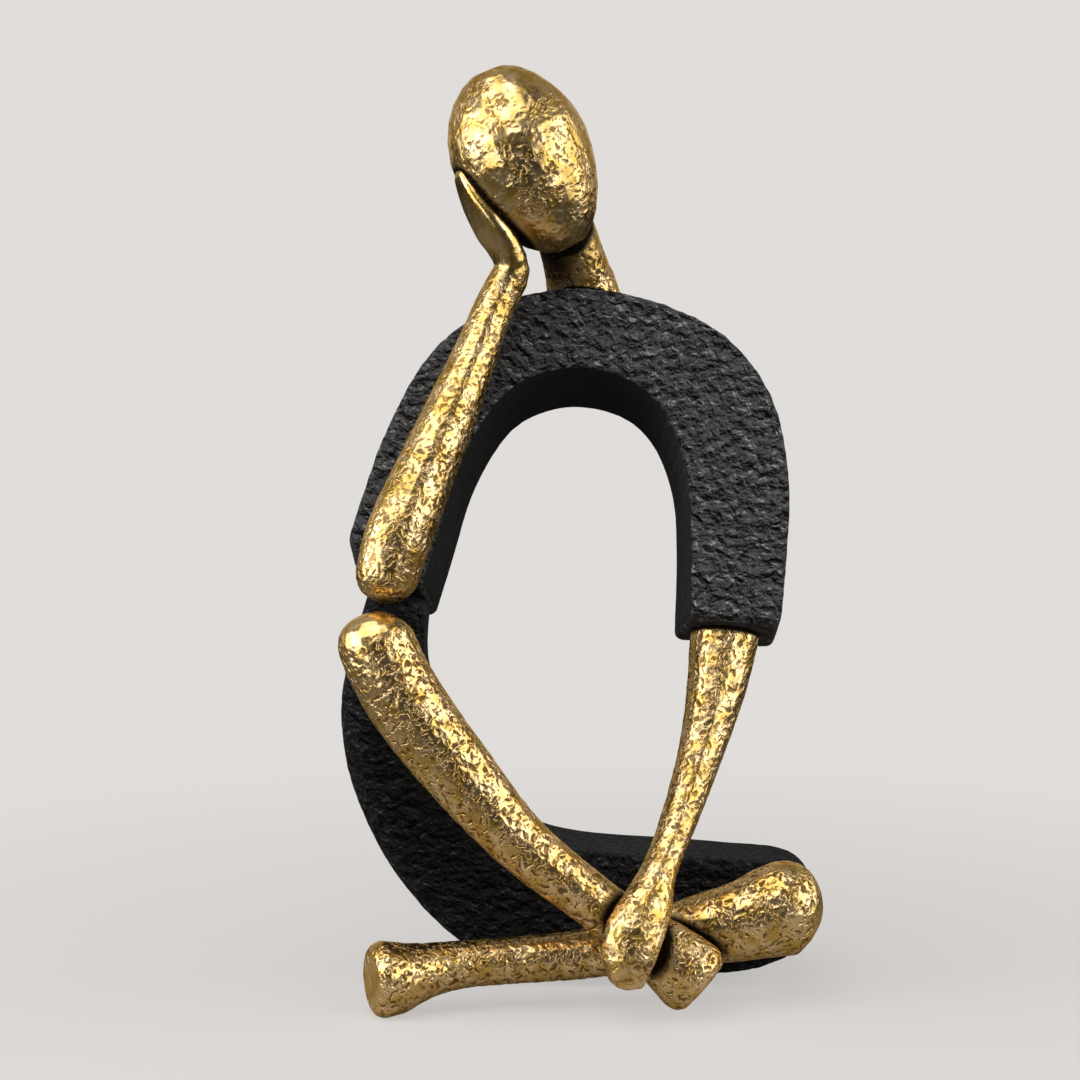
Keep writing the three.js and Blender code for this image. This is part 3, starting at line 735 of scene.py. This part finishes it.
lyingShin = {
    "node": "left_shin", "smooth": [((-61, -35, 10), 9), ((70, -14, 26), 11)],
    "cuts": [((0, 0, 0), (0, 0, -1))],
    "neighbours": {"right_shin": 7.0, "left_forearm": 8.0, "seat_and_thighs": 6.0},
    "sides": 24, "rings": 28, "facing": upright, "voxel": 0.36,
    "startRound": 11, "startBlunt": 0, "endRound": 3.5, "endBlunt": 0.66,
    "stations": [
        (67.4, -12.0, 26.5, 12.6, 11.0),
        (57.6, -14.1, 26.4, 13.5, 12.0),
        (44.1, -16.1, 23.0, 11.2, 10.5),
        (30.1, -17.6, 20.5, 9.4, 9.0),
        (16.1, -18.5, 17.2, 8.0, 7.6),
        (-0.4, -19.5, 14.4, 6.9, 6.8),
        (-17.4, -21.5, 13.3, 6.5, 6.5),
        (-34.0, -24.5, 12.7, 6.6, 6.6),
        (-45.0, -27.5, 11.4, 8.0, 7.8),
        (-52.0, -30.5, 10.4, 10.3, 9.2),
        (-58.4, -33.0, 10.2, 10.8, 9.6),
    ],
}
goldCastings = {
    "headEgg": headEgg, "neckStem": neckStem, "raisedForearm": raisedForearm,
    "loweredForearm": loweredForearm, "crossedShin": crossedShin, "lyingShin": lyingShin,
}
for name, s in goldCastings.items():
    piece = limb(name, s)
    for place, outwards in s.get("cuts", ()):
        cutFlat(place, outwards)
    s = (headFinish if name == "headEgg" else limbFinish) | s
    finishCasting(piece, s["voxel"], carveTree(s, goldDepth, lambda place, normal: wornSmooth(s, place)))
    handOver(piece, s["node"], gold)
print("gold castings made")


# The rings of a bar of rectangular section, from its outer edge to its inner edge
def barRings(s):
    rows = s["edges"]
    startRound, endRound = s["endRounds"]
    distancesOf = lambda length: roundedDistances(length, startRound, endRound, s["rings"])
    flat = lambda row: Vector(((row[0] + row[2]) / 2, (row[1] + row[3]) / 2))
    shares, length = sharesAt(lambda share: flat(through(rows, share, "clamped")), distancesOf)
    rings = []
    for share, distance in zip(shares, distancesOf(length)):
        outerX, outerZ, innerX, innerZ, front, depth = through(rows, share, "clamped")
        inset = startRound * (1 - fullness(distance, startRound))
        inset += endRound * (1 - fullness(length - distance, endRound))  # the section shrinks at the ends
        across = Vector((innerX - outerX, 0, innerZ - outerZ))
        side, back = across.normalized(), Vector((0, 1, 0))
        rotation = Matrix((side, back, side.cross(back))).transposed()
        middle = Vector((outerX, front, outerZ)) + across / 2 + back * depth / 2
        rings.append((middle, rotation, across.length / 2, depth / 2, inset))
    return rings


# An upright tube of round rings, whose four quarters are then drawn out to the corners of the section
leastRadius = 0.5  # millimetres that the corners keep where the section shrinks


def bar(name, s):
    piece = newPiece(name)
    rings = barRings(s)
    halfStep = math.pi / s["sides"]
    bpy.ops.mesh.primitive_circle_add(vertices=s["sides"], radius=1 * mm, fill_type="NGON",
                                      location=onBench(0), rotation=(0, 0, halfStep))
    for ring in rings[1:]:
        bpy.ops.mesh.extrude_region_move(TRANSFORM_OT_translate={"value": (0, 0, ringStep)})
    for i, (_, _, across, deep, inset) in enumerate(rings):
        for (inner, back), radius in s["edgeRounds"].items():
            radius = max(radius - inset, leastRadius)
            outX, outY = across - inset - radius, deep - inset - radius
            if inner and back:
                outX += s["draft"]  # the inner face leans inwards to the back
            pickVerts(piece, lambda vert: inRing(vert, i) and (vert.co.x > 0, vert.co.y > 0) == (inner, back))
            bpy.ops.transform.resize(value=(radius, radius, 1), center_override=onBench(i))
            corner = (outX if inner else -outX, outY if back else -outY, 0)
            bpy.ops.transform.translate(value=Vector(corner) * mm)
    placeRings(piece, [ring[:4] for ring in rings])
    return piece


coatBar = {
    "node": "shoulder_arch",
    "foot": (-0.4, -15.05, 105), "lean": 20, "front": leaning, "draft": 3.2,
    "sides": 24, "rings": 34, "voxel": 0.66,
    "endRounds": (2.5, 2.5),
    "edgeRounds": {  # (inner, back)
        (True, False): 1.6, (True, True): 3, (False, True): 3, (False, False): 2.6,
    },
    "edges": [  # outer x, outer z, inner x, inner z, front, depth, before the lean
        (-65.5, 25.5, -44.4, 12.0, 0, 34),
        (-61.5, 39.0, -39.3, 29.5, 0, 34),
        (-54.4, 59.5, -33.3, 49.7, 0, 34),
        (-42.0, 82.0, -22.8, 67.5, 0, 34),
        (-23.0, 96.0, -10.5, 75.0, 0, 34),
        (-1.5, 100.5, 2.6, 76.3, 0, 34),
        (20.0, 97.0, 15.5, 72.0, 0, 34),
        (41.1, 86.5, 24.4, 62.5, 0, 34),
        (54.4, 68.0, 29.7, 47.0, 0, 34),
        (58.8, 43.5, 30.8, 29.0, 0, 34),
        (57.6, 20.5, 30.6, 14.5, 0, 34),
        (55.7, 1.7, 30.3, 4.0, 0, 34),
    ],
}
hipsBar = {
    "node": "seat_and_thighs",
    "front": upright, "draft": 0, "sides": 24, "rings": 30, "voxel": 0.68,
    "endRounds": (9, 4),
    "edgeRounds": {(True, False): 4, (True, True): 8, (False, True): 8, (False, False): 10},
    "edges": [  # outer x, outer z, inner x, inner z, front, depth
        (67.7, 14.0, 68.2, 31.9, -6.0, 32.0),
        (53.6, 5.0, 57.6, 35.9, -3.0, 34.0),
        (33.6, 1.7, 42.2, 36.8, -1.0, 35.0),
        (5.6, 1.3, 25.1, 37.8, -1.0, 37.0),
        (-17.4, 3.0, 11.1, 38.6, -1.0, 37.0),
        (-36.4, 13.0, -1.9, 40.0, -2.0, 38.0),
        (-51.8, 30.4, -13.3, 43.4, -5.0, 40.0),
        (-61.5, 49.4, -24.3, 52.4, -10.0, 42.0),
        (-66.9, 69.0, -33.4, 69.0, -15.0, 43.0),
        (-66.9, 90.0, -43.4, 90.0, -17.5, 42.5),
        (-58.8, 118.0, -42.9, 111.0, -16.0, 38.0),
    ],
}

blackFinish = {"lumpDepth": 1.3, "swell": 0.65, "calmMiddle": (0.003, 0, 0.115), "calmFrom": (0.60, 0.95),
               "calmLeft": 0.2, "flatFrom": (0.15, 0.55), "sideLeft": 0.35}


def ruggedTree(s):
    return carveTree(s, blackDepth, lambda place, normal: blackBusy(s, place, normal))


s = coatBar
coat = bar("coatSleeves", s)
turn(Matrix.Rotation(-math.radians(s["lean"]), 3, "X"), (0, 0, 0))
bpy.ops.transform.translate(value=Vector(s["foot"]) * mm)
finishCasting(coat, s["voxel"], ruggedTree(s | blackFinish))
handOver(coat, s["node"], coatBlack)

s = hipsBar
hips = bar("crossedThighs", s)
finishCasting(hips, s["voxel"], ruggedTree(s | blackFinish))
handOver(hips, s["node"], hipsShadedBlack)
print("black castings made")


# Felt pads under the hips, modelled once
feltPad = {"radius": 5.0, "thickness": 2.4, "sides": 48, "rings": 3, "ringWidth": 1.2,
           "edge": 0.35, "edgeSegments": 3, "nodes": ("right_pad", "left_pad", "back_pad")}


def boxMiddle(node):
    low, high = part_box(node)
    return (Vector(low) + Vector(high)) / 2


s = feltPad
middle = boxMiddle(s["nodes"][0])
pad = newPiece("felt_" + s["nodes"][0])
bpy.ops.mesh.primitive_cylinder_add(vertices=s["sides"], radius=s["radius"] * mm,
                                    depth=s["thickness"] * mm, location=middle)
mesh = bmesh.from_edit_mesh(pad.data)
for face in mesh.faces:
    face.select = abs(face.normal.z) > 0.9
bmesh.update_edit_mesh(pad.data)
for ring in range(s["rings"]):
    bpy.ops.mesh.inset(thickness=s["ringWidth"] * mm)
bpy.ops.mesh.poke()
bpy.ops.mesh.select_all(action="SELECT")
bpy.ops.mesh.normals_make_consistent(inside=False)
bpy.ops.object.mode_set(mode="OBJECT")
modifier(pad, "BEVEL", width=s["edge"] * mm, segments=s["edgeSegments"], limit_method="ANGLE")
bpy.ops.object.shade_smooth_by_angle(angle=math.radians(40))
pads = [pad]
for node in s["nodes"][1:]:  # copied to the other two places
    deselectAll()
    pad.select_set(True)
    bpy.context.view_layer.objects.active = pad
    bpy.ops.object.duplicate(linked=False)
    copied = bpy.context.object
    copied.name = copied.data.name = "felt_" + node
    bpy.ops.object.mode_set(mode="EDIT")
    bpy.ops.mesh.select_all(action="SELECT")
    bpy.ops.transform.translate(value=boxMiddle(node) - middle)
    bpy.ops.object.mode_set(mode="OBJECT")
    pads.append(copied)
for piece, node in zip(pads, s["nodes"]):
    handOver(piece, node, felt)

# The dowels inside the joints keep their own shape
dowelNodes = ("head_pin", "neck_pin", "elbow_pin", "left_cuff_pin", "fist_pin", "ankle_pin", "right_knee_pin",
              "left_knee_pin", "thigh_pin")
for node in dowelNodes:
    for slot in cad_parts[node].material_slots:
        slot.material = steel
print("pads and dowels finished")


# A pale floor. The camera sees the backdrop's colour on it with the figurine's soft shadow, and the metal
# sees some of that at the back left. Otherwise it is a painted pool of light, grey near the figurine and dark
# further out.
paleFloor = {
    "size": 6, "shadowReach": (0.10, 0.40), "shadowShare": 0.35, "shadowed": (0.62, 0.60, 0.58, 1),
    "grey": (0.34, 0.32, 0.30, 1), "dark": (0.04, 0.04, 0.04, 1), "greyReach": (0.08, 0.22),
    "mirrored": 0.16, "mirroredMiddle": (-0.10, 0.15, 0), "mirroredReach": (0.20, 0.50),
}

s = paleFloor
deselectAll()
bpy.ops.mesh.primitive_plane_add(size=s["size"], location=(0, 0, 0))
floor = bpy.context.object
floor.name = "floor"
paint, start = newMaterial("paleFloor")
place = start.add("ShaderNodeTexCoord", {}, {}, "Object")
away = start.vector("LENGTH", place, out=1)
near = 1 - away.ease(*s["shadowReach"])
plain = start.add("ShaderNodeEmission", {}, {"Color": room["backdrop"], "Strength": 1.0})
lit = start.add("ShaderNodeBsdfDiffuse", {}, {"Color": s["shadowed"]})
shown = start.add("ShaderNodeMixShader", {}, {0: near * s["shadowShare"], 1: plain, 2: lit})
# painted pool of light, seen in the metal and in bounced light: grey near the figurine, dark further out
around = away.ease(*s["greyReach"]).blend(s["grey"], s["dark"])
unseen = start.add("ShaderNodeBsdfDiffuse", {}, {"Color": around})
aside = start.vector("DISTANCE", place, s["mirroredMiddle"], out=1)
mirrored = s["mirrored"] - aside.ease(*s["mirroredReach"]) * s["mirrored"]
inMetal = lightPath(start, "Is Glossy Ray", "Is Transmission Ray") * mirrored
isSeen = inMetal.most(lightPath(start, "Is Camera Ray"))
surface(paint, start.add("ShaderNodeMixShader", {}, {0: isSeen, 1: unseen, 2: shown}))
floor.data.materials.append(paint)
